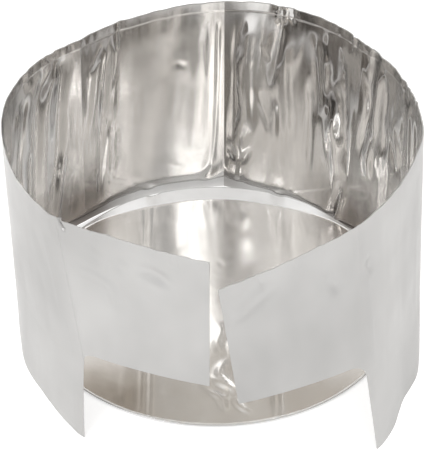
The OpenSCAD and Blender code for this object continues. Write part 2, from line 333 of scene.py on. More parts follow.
# A fold reaches so many times its width, and dies out over this length or this share of it. A fold that ends this
# near to an open edge runs out over the edge.
FOLD_REACH, FOLD_FADE, FOLD_FADE_SHARE, EDGE_NEAR = 5, 14, 0.45, 3


def eased(x, width):
    """Smooth step from 0 at x = 0 to 1 at x = width."""
    t = np.clip(x / width, 0, 1)
    return t * t * (3 - 2 * t)


def smooth_line(points, steps=8):
    """Catmull-Rom curve through the points."""
    p = np.array(points, float)
    p = np.vstack([2 * p[0] - p[1], p, 2 * p[-1] - p[-2]])
    t = np.linspace(0, 1, steps, endpoint=False)[:, None]
    spans = [0.5 * (2 * b + (c - a) * t + (2 * a - 5 * b + 4 * c - d) * t ** 2 + (3 * b - a - 3 * c + d) * t ** 3)
             for a, b, c, d in zip(p, p[1:], p[2:], p[3:])]
    return np.vstack(spans + [p[-2][None]])


def fold_heights(x, y, folds, open_edges=()):
    """Height that the folds add at each place (x, y). A fold dies out at its ends, but not at an open edge of the
    sheet."""
    total = np.zeros_like(x)
    for kind, height, width, points in folds:
        line = smooth_line(points)
        reach = FOLD_REACH * width
        near = ((x > line[:, 0].min() - reach) & (x < line[:, 0].max() + reach)
                & (y > line[:, 1].min() - reach) & (y < line[:, 1].max() + reach))
        if not near.any():
            continue
        place = np.stack([x[near], y[near]], -1)
        legs = np.diff(line, axis=0)
        runs = np.hypot(*legs.T)
        before = np.concatenate([[0], np.cumsum(runs)])
        best = np.full(len(place), np.inf)
        share = np.zeros(len(place))
        for start, leg, run, far in zip(line, legs, runs, before):
            t = np.clip((place - start) @ leg / (run * run), 0, 1)
            away = np.hypot(*(place - start - t[:, None] * leg).T)
            closer = away < best
            best[closer], share[closer] = away[closer], (far + t * run)[closer] / before[-1]
        profile = np.exp(-(best / width) ** 2) if kind == "ridge" else np.exp(-best / width)
        fade = min(FOLD_FADE_SHARE, FOLD_FADE / before[-1])
        runs_out = lambda end: any(abs(end[1] - e) < EDGE_NEAR for e in open_edges)
        from_start = 1.0 if runs_out(line[0]) else np.clip(share / fade, 0, 1)
        from_end = 1.0 if runs_out(line[-1]) else np.clip((1 - share) / fade, 0, 1)
        total[near] += height * profile * eased(from_start * from_end, 1)
    return total


def crumpled_folds(seed):
    """Seeded upright folds for the crumpled stretches, and nicks in the top edge."""
    dice = np.random.default_rng(seed)
    folds = []
    for start, end, count, height, lean_share in CRUMPLED:
        for _ in range(count):
            s, length = dice.uniform(start + 2, end - 2), dice.uniform(*SEEDED_LENGTH)
            low = dice.uniform(SEEDED_LOW, SEEDED_HIGH - length)
            drift = lean_share + dice.normal(0, 0.05)
            points = [(s + drift * (z - SEEDED_MIDDLE) + dice.normal(0, 0.9), z)
                      for z in np.linspace(low, low + length, 4)]
            kind = dice.choice(["ridge", "ridge", "crease"])
            rise = height * dice.choice([-1, 1]) * dice.uniform(*SEEDED_SHARE)
            folds.append((kind, rise, dice.uniform(*SEEDED_WIDTH), points))
    for start, end, count in NICKED:
        for _ in range(count):
            s, depth = dice.uniform(start, end), dice.uniform(*NICK_DEPTH)
            folds.append(("ridge", NICK_H * dice.choice([-1, 1]), dice.uniform(*NICK_WIDTH),
                          [(s, WALL_H), (s + dice.normal(0, 1.2), WALL_H - depth)]))
    return folds


ALL_SCREEN_FOLDS = SCREEN_FOLDS + crumpled_folds(seed=11)


# Meshes and node trees

def sheet_object(name, place, attributes):
    """A sheet through a grid of places (rows up, columns clockwise), facing outwards, with attributes on its
    points."""
    rows, columns = place.shape[:2]
    index = np.arange(rows * columns).reshape(rows, columns)
    quads = np.stack([index[:-1, :-1], index[1:, :-1], index[1:, 1:], index[:-1, 1:]], -1).reshape(-1, 4)
    mesh = bpy.data.meshes.new(name)
    mesh.from_pydata((place.reshape(-1, 3) * MM).tolist(), [], quads.tolist())
    for label, values in attributes.items():
        if values.ndim == 3:
            kind, field, values = "FLOAT_VECTOR", "vector", values * MM
        else:
            kind, field = "FLOAT", "value"
        mesh.attributes.new(label, kind, "POINT").data.foreach_set(field, values.astype(np.float32).ravel())
    mesh.update()
    sheet = bpy.data.objects.new(name, mesh)
    bpy.context.scene.collection.objects.link(sheet)
    return sheet


class Tree:
    """A node tree under construction: add() makes a node, sets its inputs and links what is linked. An input is
    named, with _ for a space, or numbered, as in i0."""

    def __init__(self, tree):
        self.tree = tree

    def add(self, kind, settings=None, **inputs):
        node = self.tree.nodes.new(kind)
        for key, value in (settings or {}).items():
            setattr(node, key, value)
        for key, value in inputs.items():
            numbered = key[0] == "i" and key[1:].isdigit()
            socket = node.inputs[int(key[1:]) if numbered else key.replace("_", " ")]
            if isinstance(value, bpy.types.NodeSocket):
                self.tree.links.new(value, socket)
            else:
                socket.default_value = value
        return node

    def math(self, operation, a, b=0.0):
        return self.add("ShaderNodeMath", {"operation": operation}, i0=a, i1=b).outputs[0]

    def scaled(self, vector, factor):
        return self.add("ShaderNodeVectorMath", {"operation": "SCALE"}, i0=vector, Scale=factor).outputs[0]

    def joined(self, *shapes):
        node = self.add("GeometryNodeJoinGeometry")
        for shape in shapes:
            self.tree.links.new(shape, node.inputs[0])
        return node.outputs[0]


FOIL_INPUTS = {"Thickness": "Float", "Hem step": "Float", "Crumple height": "Float", "Crumple size": "Float",
               "Roll radius": "Float", "Seed": "Int", "Outside finish": "Material", "Inside finish": "Material",
               "Hem finish": "Material"}
# Crumples are drawn out upwards. Edges bent by more than this are sharp. Points nearer than this are welded.
CRUMPLE_STRETCH, SHARP_EDGE, WELD, ROLL_SIDES = (1.0, 1.0, 0.3), math.radians(38), 1e-6, 10


def foil_sheet_tree():
    """Geometry nodes that turn a smooth sheet into foil: folds and fine crumples, a thickness, a hem on the inside
    and a rolled edge, with a finish for each side."""
    tree = bpy.data.node_groups.new("foil_sheet", "GeometryNodeTree")
    tree.is_modifier = True
    tree.interface.new_socket("Sheet", in_out="INPUT", socket_type="NodeSocketGeometry")
    for label, kind in FOIL_INPUTS.items():
        tree.interface.new_socket(label, in_out="INPUT", socket_type="NodeSocket" + kind)
    tree.interface.new_socket("Foil", in_out="OUTPUT", socket_type="NodeSocketGeometry")
    t = Tree(tree)
    given = t.add("NodeGroupInput").outputs

    def read(label):
        return t.add("GeometryNodeInputNamedAttribute", {"data_type": "FLOAT"}, Name=label).outputs["Attribute"]

    def moved(shape, distance):
        way = t.scaled(t.add("GeometryNodeInputNormal").outputs["Normal"], distance)
        return t.add("GeometryNodeSetPosition", Geometry=shape, Offset=way).outputs[0]

    def painted(shape, finish, **part):
        return t.add("GeometryNodeSetMaterial", Geometry=shape, Material=given[finish], **part).outputs[0]

    def smooth(shape):
        return t.add("GeometryNodeSetShadeSmooth", {"domain": "FACE"}, Geometry=shape, Shade_Smooth=True).outputs[0]

    place = t.add("GeometryNodeInputPosition").outputs[0]
    drawn = t.add("ShaderNodeVectorMath", {"operation": "MULTIPLY"}, i0=place, i1=CRUMPLE_STRETCH).outputs[0]
    crumple = t.add("ShaderNodeTexNoise", {"noise_dimensions": "4D"}, Vector=drawn, W=given["Seed"], Detail=2.0,
                    Roughness=0.45, Distortion=0.8, Scale=t.math("DIVIDE", 1.0, given["Crumple size"])).outputs[0]
    crumple = t.math("MULTIPLY", t.math("SUBTRACT", crumple, 0.5), given["Crumple height"])
    folded = moved(given["Sheet"], t.math("ADD", read("fold"), t.math("MULTIPLY", crumple, read("slack"))))

    # Both sides and the thickness between them
    outside = moved(folded, t.math("MULTIPLY", given["Thickness"], 0.5))
    turned = t.add("GeometryNodeFlipFaces", Mesh=outside).outputs[0]
    depth = t.math("ADD", given["Thickness"], t.math("MULTIPLY", read("hem"), given["Hem step"]))
    inside = t.add("GeometryNodeExtrudeMesh", {"mode": "FACES"}, Mesh=turned, Offset_Scale=depth,
                   Individual=False).outputs
    hemmed = t.add("FunctionNodeBooleanMath", {"operation": "AND"}, i0=inside["Top"],
                   i1=t.math("GREATER_THAN", read("hem"), 0.6)).outputs[0]
    walls = painted(inside["Mesh"], "Outside finish")
    walls = painted(walls, "Inside finish", Selection=inside["Top"])
    walls = painted(walls, "Hem finish", Selection=hemmed)
    shell = t.joined(painted(outside, "Outside finish"), walls)
    shell = smooth(t.add("GeometryNodeMergeByDistance", Geometry=shell, Distance=WELD).outputs[0])
    bend = t.add("GeometryNodeInputMeshEdgeAngle").outputs["Unsigned Angle"]
    shell = t.add("GeometryNodeSetShadeSmooth", {"domain": "EDGE"}, Geometry=shell, Shade_Smooth=False,
                  Selection=t.math("GREATER_THAN", bend, SHARP_EDGE)).outputs[0]

    # The rolled edge
    edge = moved(folded, t.math("MULTIPLY", given["Hem step"], -0.5))
    edge = t.add("GeometryNodeMeshToCurve", Mesh=edge,
                 Selection=t.math("GREATER_THAN", read("roll"), 0.99)).outputs[0]
    ring = t.add("GeometryNodeCurvePrimitiveCircle", Resolution=ROLL_SIDES,
                 Radius=given["Roll radius"]).outputs["Curve"]
    roll = t.add("GeometryNodeCurveToMesh", Curve=edge, Profile_Curve=ring, Fill_Caps=True).outputs[0]
    roll = painted(smooth(roll), "Outside finish")
    foil = t.add("GeometryNodeRealizeInstances", Geometry=t.joined(shell, roll)).outputs[0]
    t.add("NodeGroupOutput", i0=foil)
    return tree


def make_foil(sheet, tree, inputs):
    """Runs the tree on a sheet and keeps the result as a plain mesh."""
    modifier = sheet.modifiers.new("foil", "NODES")
    modifier.node_group = tree
    for item in tree.interface.items_tree:
        if item.in_out == "INPUT" and item.name in inputs:
            modifier[item.identifier] = inputs[item.name]
    view = bpy.context.evaluated_depsgraph_get()
    mesh = bpy.data.meshes.new_from_object(sheet.evaluated_get(view), preserve_all_data_layers=True,
                                           depsgraph=view)
    sheet.modifiers.remove(modifier)
    sheet.data = mesh


# Finishes. Places on a sheet are in metres.

def new_paint(name):
    """An empty material, and its node tree."""
    paint = bpy.data.materials.new(name)
    paint.use_nodes = True
    paint.node_tree.nodes.clear()
    return paint, Tree(paint.node_tree)


def eased_share(t, value, start, end, low=0.0, high=1.0):
    """Smooth step from low at start to high at end."""
    return t.add("ShaderNodeMapRange", {"interpolation_type": "SMOOTHSTEP"}, Value=value, From_Min=start,
                 From_Max=end, To_Min=low, To_Max=high).outputs[0]


def wandering(t, value, clouds, width):
    """The value, shifted by the clouds within a width."""
    return t.math("ADD", value, t.math("MULTIPLY", t.math("SUBTRACT", clouds, 0.5), width))


def painted_foot_and_crease_shade(t, place, clouds):
    """Painted shade on the screen's inside: darker along the wall's foot, less so at the back, and on the right of
    the back crease."""
    wander, shade_full_below, clear_above = 0.05, 0.004, 0.050
    back, spared_to, full_from = BACK_RIGHT * PANEL_W * MM, 0.045, 0.085
    beside_start, beside_end, beside_share = 0.354, 0.372, 0.5
    along, up, _ = t.add("ShaderNodeSeparateXYZ", Vector=place).outputs
    up = wandering(t, up, clouds, wander)
    off_back = eased_share(t, t.math("ABSOLUTE", t.math("SUBTRACT", along, back)), spared_to, full_from)
    low = t.math("MULTIPLY", eased_share(t, up, shade_full_below, clear_above, 1.0, 0.0), off_back)
    beside = eased_share(t, along, beside_start, beside_end, beside_share, 0.0)
    beside = t.math("MULTIPLY", beside, t.math("GREATER_THAN", along, back))
    return t.math("MAXIMUM", low, beside)


def darker_front(t, place, clouds):
    """The reflector is tinted darker and browner towards the front, most at the front left and a little at the
    front right.
    """
    wander, front_start, front_full = 0.04, 0.035, 0.075
    side_start, side_full = 0.026, 0.046
    middle_w, right_share = 0.01, 0.33
    across, back, _ = t.add("ShaderNodeSeparateXYZ", Vector=place).outputs
    back = wandering(t, back, clouds, wander)
    front = eased_share(t, t.math("MULTIPLY", back, -1.0), front_start, front_full)
    sides = eased_share(t, t.math("ABSOLUTE", across), side_start, side_full)
    less_right = eased_share(t, across, -middle_w, middle_w, 1.0, right_share)
    return t.math("MULTIPLY", t.math("MULTIPLY", front, sides), less_right)


def foil_finish(name, dark, light, rough, streak_scale, cloud_scale, streak_depth, grain_depth, rolled=0.0,
                darker_share=None, darker_tint=None):
    """Metal foil whose tint, roughness and fine relief follow the sheet's own places. Where a darkening mask is
    given, the tint is multiplied there by a darker tint: painted shade on the screen's inside, and a darker front
    on the reflector."""
    finish, t = new_paint(name)
    place = t.add("ShaderNodeAttribute", {"attribute_name": "sheet_place"}).outputs["Vector"]

    def noise(where, scale, detail, roughness):
        return t.add("ShaderNodeTexNoise", Vector=where, Scale=scale, Detail=detail, Roughness=roughness).outputs[0]

    def stretched(scale):
        return t.add("ShaderNodeMapping", Vector=place, Scale=scale).outputs[0]

    streaks = noise(stretched(streak_scale), scale=1.0, detail=4.0, roughness=0.6)
    clouds = noise(stretched(cloud_scale), scale=1.0, detail=3.0, roughness=0.5)
    grain = noise(place, scale=900.0, detail=2.0, roughness=0.5)
    tint = t.add("ShaderNodeValToRGB", Fac=clouds)
    for stop, position, colour in zip(tint.color_ramp.elements, (0.35, 0.65), (dark, light)):
        stop.position, stop.color = position, (*colour, 1)
    gloss = t.add("ShaderNodeMapRange", Value=streaks, From_Min=0.3, From_Max=0.7, To_Min=rough[0],
                  To_Max=rough[1]).outputs[0]
    relief = t.add("ShaderNodeBump", Height=streaks, Strength=1.0, Distance=streak_depth).outputs[0]
    relief = t.add("ShaderNodeBump", Height=grain, Strength=1.0, Distance=grain_depth, Normal=relief).outputs[0]
    colour = tint.outputs[0]
    if darker_share:
        colour = t.add("ShaderNodeMix", {"data_type": "RGBA", "blend_type": "MULTIPLY"},
                       Factor=darker_share(t, place, clouds), i6=colour, i7=(*darker_tint, 1)).outputs[2]
    metal = t.add("ShaderNodeBsdfPrincipled", Base_Color=colour, Metallic=1.0, Roughness=gloss, Normal=relief,
                  Anisotropic=rolled)
    if rolled:
        # Rolling lines run along the strip and draw reflections out upwards
        t.tree.links.new(t.add("ShaderNodeCombineXYZ", Z=1.0).outputs[0], metal.inputs["Tangent"])
    t.add("ShaderNodeOutputMaterial", Surface=metal.outputs[0])
    return finish


satin_outside = foil_finish(
    "satin_foil_outside", dark=(0.41, 0.406, 0.401), light=(0.51, 0.506, 0.50), rough=(0.34, 0.44),
    streak_scale=(12, 30, 1), cloud_scale=(14, 10, 1), streak_depth=1e-5, grain_depth=3e-6)
# The inside's tint is darkened by painted shade along the wall's foot and beside the back crease.
bright_inside = foil_finish(
    "bright_foil_inside", dark=(0.652, 0.643, 0.631), light=(0.735, 0.726, 0.716), rough=(0.07, 0.14),
    streak_scale=(260, 9, 1), cloud_scale=(40, 12, 1), streak_depth=4e-6, grain_depth=5e-7, rolled=0.6,
    darker_share=painted_foot_and_crease_shade, darker_tint=(0.30, 0.275, 0.257))
reflector_bright = foil_finish(
    "reflector_bright_foil", dark=(0.72, 0.706, 0.686), light=(0.79, 0.777, 0.76), rough=(0.16, 0.26),
    streak_scale=(60, 60, 1), cloud_scale=(25, 25, 1), streak_depth=1e-5, grain_depth=5e-7,
    darker_share=darker_front, darker_tint=(0.62, 0.58, 0.535))
# The hem's foil is paler than both sides of the reflector's foil: painted light on the raised hem, which is also
# rougher.
reflector_hem_painted_light = foil_finish(
    "reflector_hem_foil", dark=(0.86, 0.855, 0.845), light=(0.92, 0.915, 0.91), rough=(0.36, 0.46),
    streak_scale=(300, 300, 1), cloud_scale=(30, 30, 1), streak_depth=1e-5, grain_depth=6e-6)
reflector_under = foil_finish(
    "reflector_underside_foil", dark=(0.53, 0.525, 0.517), light=(0.62, 0.614, 0.606), rough=(0.30, 0.40),
    streak_scale=(60, 60, 1), cloud_scale=(25, 25, 1), streak_depth=1e-5, grain_depth=3e-6)

tree = foil_sheet_tree()

# The eight panels of the screen

ROW_STEP, COLUMN_STEP = 1.0, 0.95
# Columns are closer together beside a crease: over which width, and how close
FINE_W, FINE_STEP = 7.0, 0.45
# Rows on both sides of the hem's low edge, and where its step starts and how wide it is
HEM_EDGE_ROWS = np.array([-0.35, -0.05, 0.25, 0.6])
HEM_EDGE_LOW, HEM_EDGE_W = 0.1, 0.3
UPRIGHT_ROWS = np.unique(np.concatenate([
    np.arange(0, WALL_H, ROW_STEP), [NOTCH_H, WALL_H], *(notch_corner(side)[1:] for side in NOTCH_R),
    WALL_H - HEM_H + HEM_EDGE_ROWS]))
# Height over which a wing's rows level out above its slanting low edge
WING_BLEND_H = 24.0
# How much stronger the folds are than their tables say, and how far from a crease folds and crumples are in full
FOLD_STRENGTH, FOLD_FROM_CREASE, CRUMPLE_FROM_CREASE = 1.5, 2.2, 4.0
CRUMPLE_H, CRUMPLE_SIZE, ROLL_R = 1.9, 18.0, 0.36
# Waves of the top edge: height, length and shift of each, and where they start and are in full
TOP_WAVES = ((0.22, 7.3, 0.6), (0.16, 3.1, 2.0), (0.12, 1.7, 0.0))
TOP_WAVE_Z, TOP_WAVE_EASE = 112.0, 15.0


def column_shares(fine_from_start, fine_from_end):
    """Shares across a panel, closer together beside a crease."""
    fine = np.arange(0, FINE_W, FINE_STEP) / PANEL_W
    step = np.linspace(0, 1, int(PANEL_W / COLUMN_STEP) + 1)
    shares = np.concatenate([step, fine * fine_from_start, 1 - fine * fine_from_end])
    return np.unique(np.round(shares, 5))


def top_edge_wave(s):
    return sum(height * np.sin(s / length + shift) for height, length, shift in TOP_WAVES)


for i, panel in enumerate(PANELS):
    wing = i in WINGS.values()
    u, z = np.meshgrid(column_shares(i != LEFT_WING, i != RIGHT_WING),
                       UPRIGHT_ROWS[UPRIGHT_ROWS >= NOTCH_H] if wing else UPRIGHT_ROWS)
    if wing:
        low = wing_low_edge("left", u) if i == LEFT_WING else wing_low_edge("right", 1 - u)
        blend_to = NOTCH_H + WING_BLEND_H
        z = np.where(z < blend_to, low + (z - NOTCH_H) * (blend_to - low) / (blend_to - NOTCH_H), z)
    s = (i + u) * PANEL_W
    place = round_off(i, u, panel_place(i, u, z))
    place[..., :2] += back_dent(s, z)[..., None] * halfway(BACK_RIGHT)
    from_crease = np.minimum(u if i != LEFT_WING else 1, 1 - u if i != RIGHT_WING else 1) * PANEL_W
    slack = eased(from_crease, CRUMPLE_FROM_CREASE) * np.interp(s, *zip(*SLACK))
    fold = FOLD_STRENGTH * fold_heights(s, z, ALL_SCREEN_FOLDS, open_edges=(0, WALL_H))
    fold = fold * eased(from_crease, FOLD_FROM_CREASE)
    hem = eased(z - (WALL_H - HEM_H - HEM_EDGE_LOW), HEM_EDGE_W)
    roll = (np.arange(len(z)) == len(z) - 1)[:, None] + 0 * z
    place[..., 2] += top_edge_wave(s) * eased(z - TOP_WAVE_Z, TOP_WAVE_EASE)
    sheet = sheet_object(panel + "_foil", place, {
        "fold": fold * MM, "slack": slack, "hem": hem, "roll": roll, "sheet_place": np.stack([s, z, 0 * s], -1)})
    make_foil(sheet, tree, {
        "Thickness": FOIL_T * MM, "Hem step": HEM_STEP * MM, "Crumple height": CRUMPLE_H * MM,
        "Crumple size": CRUMPLE_SIZE * MM, "Roll radius": ROLL_R * MM, "Seed": i,
        "Outside finish": satin_outside, "Inside finish": bright_inside, "Hem finish": bright_inside})
    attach(sheet, panel)
    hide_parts(panel + "_panel")

# The three leaves of the reflector, seen from above with their bright side up. The sheet's outside is its
# underside.

REFLECTOR_FOLDS = [
    ("crease", 0.30, 1.2, [(-40.2, -101), (-40.0, -60), (-39.6, -10), (-39.8, 60), (-40, 101)]),
    ("ridge", 0.15, 3.0, [(-49, -90), (-48.5, -40), (-49, 20)]),
    ("crease", 0.20, 1.0, [(31.5, -101), (31.8, -70), (31.2, -30), (31.8, 40), (31.5, 101)]),
    ("ridge", 0.12, 2.0, [(-31, 30), (-30.5, 70), (-30.8, 98)]),
    ("ridge", 0.43, 2.3, [(-2, -12), (3, -22), (1, -34), (6, -45)]),
    ("ridge", 0.56, 2.1, [(6, -45), (2, -58), (8, -70), (4, -84)]),
    ("ridge", 0.37, 1.8, [(12, -24), (8, -36), (11, -50)]),
    ("ridge", 0.50, 2.3, [(-4, -58), (5, -68), (14, -72)]),
    ("ridge", 0.43, 2.0, [(-8, -70), (2, -77), (6, -92)]),
    ("ridge", 0.50, 1.8, [(8, -74), (13, -84), (20, -93)]),
    ("ridge", 0.37, 2.5, [(-12, -55), (-6, -62), (-4, -74)]),
    ("ridge", 0.37, 2.3, [(18, -60), (22, -72), (20, -84)]),
]

# Fine seeded folds: number, reach from the middle, length, height, share of the height, and width
CRINKLE_COUNT, CRINKLE_REACH, CRINKLE_LENGTH = 34, 92, (14, 45)
CRINKLE_H, CRINKLE_SHARE, CRINKLE_WIDTH = 0.11, (0.5, 1.4), (1.5, 4.5)


def reflector_folds(seed):
    dice = np.random.default_rng(seed)
    folds = []
    for _ in range(CRINKLE_COUNT):
        x, y = dice.uniform(-CRINKLE_REACH, CRINKLE_REACH), dice.uniform(-CRINKLE_REACH, CRINKLE_REACH)
        turn, length = dice.uniform(0, math.pi), dice.uniform(*CRINKLE_LENGTH)
        way = np.array([math.cos(turn), math.sin(turn)]) * length / 2
        bend = dice.normal(0, 3, 2)
        kind = dice.choice(["ridge", "crease"])
        rise = CRINKLE_H * dice.choice([-1, 1]) * dice.uniform(*CRINKLE_SHARE)
        folds.append((kind, rise, dice.uniform(*CRINKLE_WIDTH),
                      [(x - way[0], y - way[1]), (x + bend[0], y + bend[1]), (x + way[0], y + way[1])]))
    return folds


ALL_REFLECTOR_FOLDS = REFLECTOR_FOLDS + reflector_folds(seed=5)
# Each leaf's node, name and crumple seed
LEAVES = {"reflector": ("reflector_centre", "reflector_centre_foil", 21),
          "left_leaf": ("reflector_left_leaf", "left_leaf_foil", 22),
          "right_leaf": ("reflector_right_leaf", "right_leaf_foil", 23)}
# The disc's height at rest, the depth of its deepest dent, and the width of the ridge along a fold
DISC_Z, DEEPEST, RIDGE_W = 0.35, -0.15, 1.3
# How far from a fold dents and crumples are in full
DENT_FROM_FOLD, CRUMPLE_FROM_FOLD = 3.0, 5.0
DISC_CRUMPLE_H, DISC_CRUMPLE_SIZE, DISC_ROLL_R, DISC_HEM_STEP = 0.12, 20.0, 0.4, 0.25
# The hand-folded edge: narrow all round, this much wider at the back, up to and eased over these angles
HEM_NARROW, HEM_WIDER, HEM_BACK_DEG, HEM_EASE_DEG = 1.3, 6.2, 50.0, 36.0
# It is raised all along, and at the back stands up towards its outer edge, less near a fold
HEM_LIFT, HEM_LIFT_W, HEM_RISE, HEM_RISE_W = 0.25, 6.0, 2.2, 4.0
HEM_FOLD_SHARE, HEM_FOLD_W = 0.4, 5.0
# Rows across the hem, as shares of its width, and just inside it
HEM_ROWS = np.array([0, 0.25, 0.5, 0.75, 0.93, 1.0])
STEP_ROWS = np.array([1.06, 1.3])
CENTRE_COLUMNS, CENTRE_ROWS, LEAF_COLUMNS, LEAF_ROWS = 76, 196, 210, 72


def hem_width(x, y):
    """The hand-folded edge is wide at the back and narrow elsewhere."""
    off = np.degrees(np.abs(np.arctan2(x, y)))
    return HEM_NARROW + HEM_WIDER * eased(HEM_BACK_DEG - off, HEM_EASE_DEG)


def hem_rise(x, y):
    """At the back the hem stands up a little towards its outer edge, less beside the two folds."""
    width = hem_width(x, y)
    outer = np.clip((np.hypot(x, y) - (DISC_R - width)) / width, 0, 1)
    beside_fold = HEM_FOLD_SHARE + (1 - HEM_FOLD_SHARE) * eased(np.abs(np.abs(x) - FOLD_X), HEM_FOLD_W)
    return HEM_RISE * outer * eased(width - HEM_NARROW, HEM_RISE_W) * beside_fold


def centre_place(band):
    """Places of the leaf in the middle, which are on its hem, and which are on its edge."""
    x = np.linspace(-FOLD_X, FOLD_X, CENTRE_COLUMNS)
    rim = lambda depth: np.sqrt((DISC_R - depth) ** 2 - x ** 2)
    front_w, back_w = (hem_width(x, sign * np.sqrt(DISC_R ** 2 - x ** 2)) for sign in (-1, 1))
    front = np.stack([-rim(share * front_w) for share in band])
    back = np.stack([rim(share * back_w) for share in band[::-1]])
    across = np.linspace(0, 1, CENTRE_ROWS)[1:-1, None]
    y = np.vstack([front, front[-1] + (back[0] - front[-1]) * across, back])
    hem = np.concatenate([band <= 1, 0 * across[:, 0], band[::-1] <= 1])[:, None] + 0 * y
    edge = np.zeros_like(y)
    edge[0], edge[-1] = 1, 1
    return np.stack([x + 0 * y, y], -1), hem, edge


def side_leaf_place(sign, band):
    """The same for a leaf at the left (sign -1) or right (1)."""
    share = np.linspace(-1, 1, LEAF_COLUMNS)
    rim = []
    for part in band:
        half = math.acos(FOLD_X / DISC_R)
        depth = part * hem_width(sign * DISC_R * np.cos(half * share), DISC_R * np.sin(half * share))
        half = np.arccos(FOLD_X / (DISC_R - depth[[0, -1]]).mean())
        angle = half * share
        rim.append(np.stack([sign * (DISC_R - depth) * np.cos(angle), (DISC_R - depth) * np.sin(angle)], -1))
        rim[-1][[0, -1], 0] = sign * FOLD_X
    rim = np.stack(rim)
    fold_line = np.stack([0 * share + sign * FOLD_X,
                          np.linspace(rim[-1, 0, 1], rim[-1, -1, 1], len(share))], -1)
    across = np.linspace(0, 1, LEAF_ROWS)[1:, None, None]
    place = np.concatenate([rim, rim[-1] + (fold_line - rim[-1]) * across])
    hem = (np.concatenate([band <= 1, 0 * across[:, 0, 0]])[:, None] + 0 * place[..., 0]).astype(float)
    edge = np.zeros_like(hem)
    edge[0] = 1
    return place, hem, edge


def disc_place(leaf):
    band = np.concatenate([HEM_ROWS, STEP_ROWS])
    if leaf == "reflector":
        return centre_place(band)
    return side_leaf_place(-1 if leaf == "left_leaf" else 1, band)


for leaf, (node, name, seed) in LEAVES.items():
    plan, hem, edge = disc_place(leaf)
    x, y = plan[..., 0], plan[..., 1]
    from_fold = np.abs(np.abs(x) - FOLD_X)
    slack = eased(from_fold, CRUMPLE_FROM_FOLD)
    ridge = (FOLD_Z - DISC_Z) * np.exp(-(from_fold / RIDGE_W) ** 2)
    lift = fold_heights(x, y, ALL_REFLECTOR_FOLDS) * eased(from_fold, DENT_FROM_FOLD)
    raised = HEM_LIFT * eased(np.hypot(x, y) - (DISC_R - HEM_LIFT_W), HEM_LIFT_W) * (hem > 0.5)
    z = DISC_Z + ridge + np.maximum(lift, DEEPEST) + raised + hem_rise(x, y)
    place = np.concatenate([plan, z[..., None]], -1)
    if leaf == "left_leaf":
        place, hem, edge, slack, x, y = (a[:, ::-1] for a in (place, hem, edge, slack, x, y))
    sheet = sheet_object(name, place, {
        "fold": 0 * hem, "slack": slack, "hem": hem, "roll": edge, "sheet_place": np.stack([x, y, 0 * x], -1)})
    make_foil(sheet, tree, {
        "Thickness": FOIL_T * MM, "Hem step": DISC_HEM_STEP * MM, "Crumple height": DISC_CRUMPLE_H * MM,
        "Crumple size": DISC_CRUMPLE_SIZE * MM, "Roll radius": DISC_ROLL_R * MM, "Seed": seed,
        "Outside finish": reflector_under, "Inside finish": reflector_bright, "Hem finish": reflector_hem_painted_light})
    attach(sheet, leaf)
    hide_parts(node)

# Floor, background, light and camera, in metres

FLOOR_HALF, FLOOR_Z = 2.8, -0.0004
WHITE, FLOOR_GLOW, FLOOR_GREY = (1, 1, 1, 1), 0.48, (0.75, 0.75, 0.75, 1)
# How bright the background is as a light. It is white where it is seen.
SKY_LIGHT = 0.55
# Height of the point that the lamps face
AIM_Z = 0.05
# The studio's walls and ceiling stand round the object and show in the foil as paler and darker panels. A camera
# that stands further back looks through them, and through the lamps.
# Each panel: azimuth from the front (to the right is positive) and how bright it is
WALL_PANELS = [(-180, 0.58), (-164, 0.54), (-152, 1.00), (-125, 1.25), (-60, 1.35), (-28, 1.10), (-11, 0.80),
               (5, 0.80), (14, 1.20), (46, 1.25), (52, 1.25), (63, 1.25), (68, 1.65), (76, 1.65), (82, 1.40),
               (92, 1.40), (98, 1.70), (114, 1.25), (128, 0.85), (140, 0.60), (152, 0.60), (166, 0.56), (180, 0.58)]
WALL_R, WALL_LOW, CEILING_Z, CEILING_LEVEL = 3.0, 0.9, 4.2, 1.20
# The walls are a little warm, in full behind this azimuth: green and blue that are missing there, share elsewhere
WARM_DEG, WARM_GREEN, WARM_BLUE, WARM_ELSEWHERE = 140, 0.06, 0.14, 0.3
# They are uneven, as drapes are: how fine, and the lowest and highest strength. A colour of 0.5 is brightness 1.
DRAPE_FINENESS, DRAPE_LOW, DRAPE_HIGH = 9.0, 1.4, 2.6
# Four grey cards give the crumpled foil something dark to mirror: first and last azimuth, lowest and highest point,
# brightness
GREY_CARDS = {"left_card": (-52, -20, 1.2, 2.50, 0.60), "front_card": (-20, 12, 1.5, 2.32, 0.32),
              "right_card": (28, 50, 1.5, 2.32, 0.75), "high_card": (18, 44, 2.32, 2.72, 0.70)}
CARD_R, CARD_BENDS = 2.9, 12
CAMERA_PLACE, CAMERA_DOWN_DEG, CAMERA_LENS = (-0.0016, -1.5210, 1.2844), 38.92, 289.2


def shows_background(t):
    """1 for rays that show the background or floor, 0 for those that only light the object."""
    rays = t.add("ShaderNodeLightPath").outputs
    seen = t.math("MAXIMUM", rays["Is Camera Ray"], rays["Is Glossy Ray"])
    return t.math("MAXIMUM", seen, rays["Is Transmission Ray"])


def glowing_paint(name, strength):
    paint, t = new_paint(name)
    glow = t.add("ShaderNodeEmission", Color=WHITE, Strength=strength).outputs[0]
    t.add("ShaderNodeOutputMaterial", Surface=glow)
    return paint


def floor_paint():
    paint, t = new_paint("white_floor")
    level = t.math("MULTIPLY", shows_background(t), FLOOR_GLOW)
    glow = t.add("ShaderNodeEmission", Color=WHITE, Strength=level).outputs[0]
    matt = t.add("ShaderNodeBsdfDiffuse", Color=FLOOR_GREY).outputs[0]
    t.add("ShaderNodeOutputMaterial", Surface=t.add("ShaderNodeAddShader", i0=glow, i1=matt).outputs[0])
    return paint


